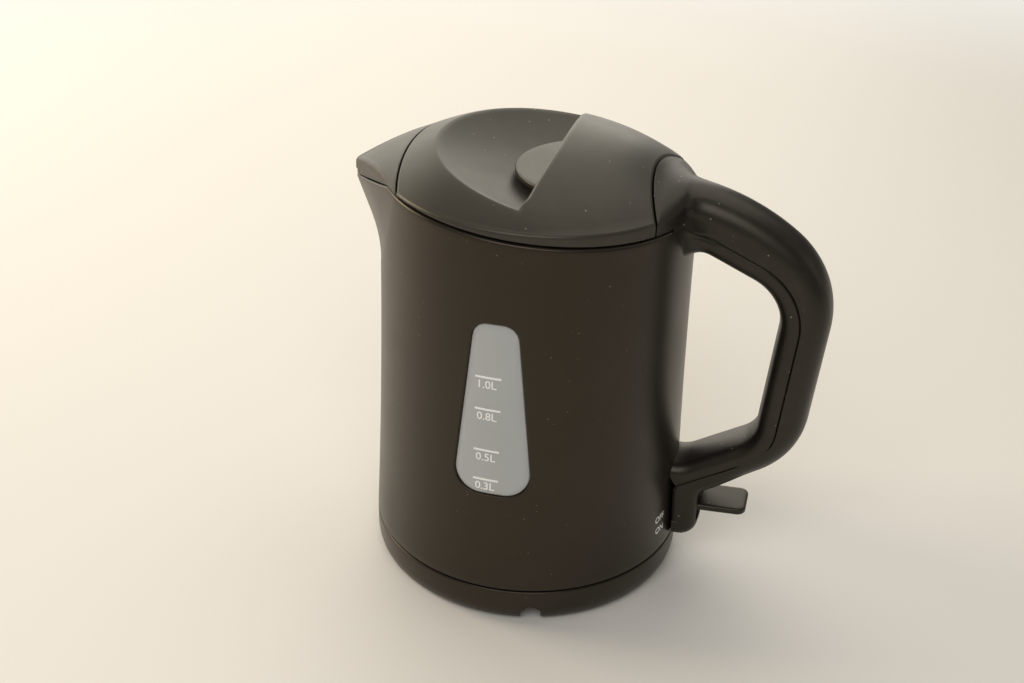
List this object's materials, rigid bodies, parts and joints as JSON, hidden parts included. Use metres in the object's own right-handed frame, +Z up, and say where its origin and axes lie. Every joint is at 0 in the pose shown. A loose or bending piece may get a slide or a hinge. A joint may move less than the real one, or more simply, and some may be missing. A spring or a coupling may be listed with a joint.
{
  "type": "electric kettle",
  "caption": "Near-black electric kettle lifted off a round power base, with domed lid, sliding lid release, gauge window and rocker switch",
  "frame": {"origin": "on the body axis at table level, under the middle of the power base", "axes": "+X towards the handle, -X towards the spout, -Y towards the gauge window, +Z up"},
  "size_m": [0.2123, 0.144, 0.2072],
  "materials": {
    "black_plastic": "satin near-black moulding, fine grain",
    "dark_plastic": "plain dark moulding",
    "rubber": "soft grey silicone",
    "steel": "plain stainless",
    "brass": "bare brass",
    "cast_aluminium": "as cast",
    "window": "frosted clear moulding"
  },
  "bodies": {
    "base": {"base_cover": "black_plastic", "base_plate": "dark_plastic", "foot_ring": "rubber", "base_screws": "steel", "connector_post": "dark_plastic", "contact_inner": "brass", "contact_outer": "brass", "earth_clip": "brass"},
    "kettle": {"body_shell": "black_plastic", "spout_cover": "black_plastic", "handle_inner": "black_plastic", "handle_cover": "black_plastic", "control_unit": "dark_plastic", "bottom_cover": "dark_plastic", "steam_switch": "dark_plastic", "window_gasket": "rubber", "plate_seal": "rubber", "handle_screws": "steel", "heating_plate": "steel", "control_screws": "steel", "socket_pin": "steel", "bottom_screws": "steel", "lever_pin": "steel", "bimetal_discs": "brass", "socket_ring_inner": "brass", "socket_ring_outer": "brass", "steam_disc": "brass", "heat_spreader": "cast_aluminium", "heater_ring": "cast_aluminium", "window_lens": "window"},
    "lid": {"lid_top": "black_plastic", "lid_inner": "dark_plastic", "lid_seal": "rubber", "lid_screws": "steel", "tab_spring": "steel"},
    "release_tab": {"release_tab": "black_plastic"},
    "latch_near": {"latch_near": "dark_plastic"},
    "latch_far": {"latch_far": "dark_plastic"},
    "switch_lever": {"switch_lever": "black_plastic"}
  },
  "joints": [
    {"name": "lift_off", "type": "slide", "parent": "base", "child": "kettle", "axis": [0, 0, 1], "range_m": [0, 0.15]},
    {"name": "lid_lift", "type": "slide", "parent": "kettle", "child": "lid", "axis": [0, 0, 1], "range_m": [0, 0.08]},
    {"name": "tab_slide", "type": "slide", "parent": "lid", "child": "release_tab", "axis": [1, 0, 0], "range_m": [0, 0.005], "stiffness_N_per_m": 200, "deforming": ["tab_spring"]},
    {"name": "near_slide", "type": "slide", "parent": "lid", "child": "latch_near", "axis": [0, 1, 0], "range_m": [0, 0.004]},
    {"name": "far_slide", "type": "slide", "parent": "lid", "child": "latch_far", "axis": [0, -1, 0], "range_m": [0, 0.004]},
    {"name": "switch_rock", "type": "hinge", "parent": "kettle", "child": "switch_lever", "pos_m": [0.0766, 0, 0.0336], "axis": [0, 1, 0], "range_deg": [0, 16]}
  ],
  "couplings": [
    {"joint": "near_slide", "follows": "tab_slide", "ratio": 0.8},
    {"joint": "far_slide", "follows": "tab_slide", "ratio": 0.8}
  ]
}
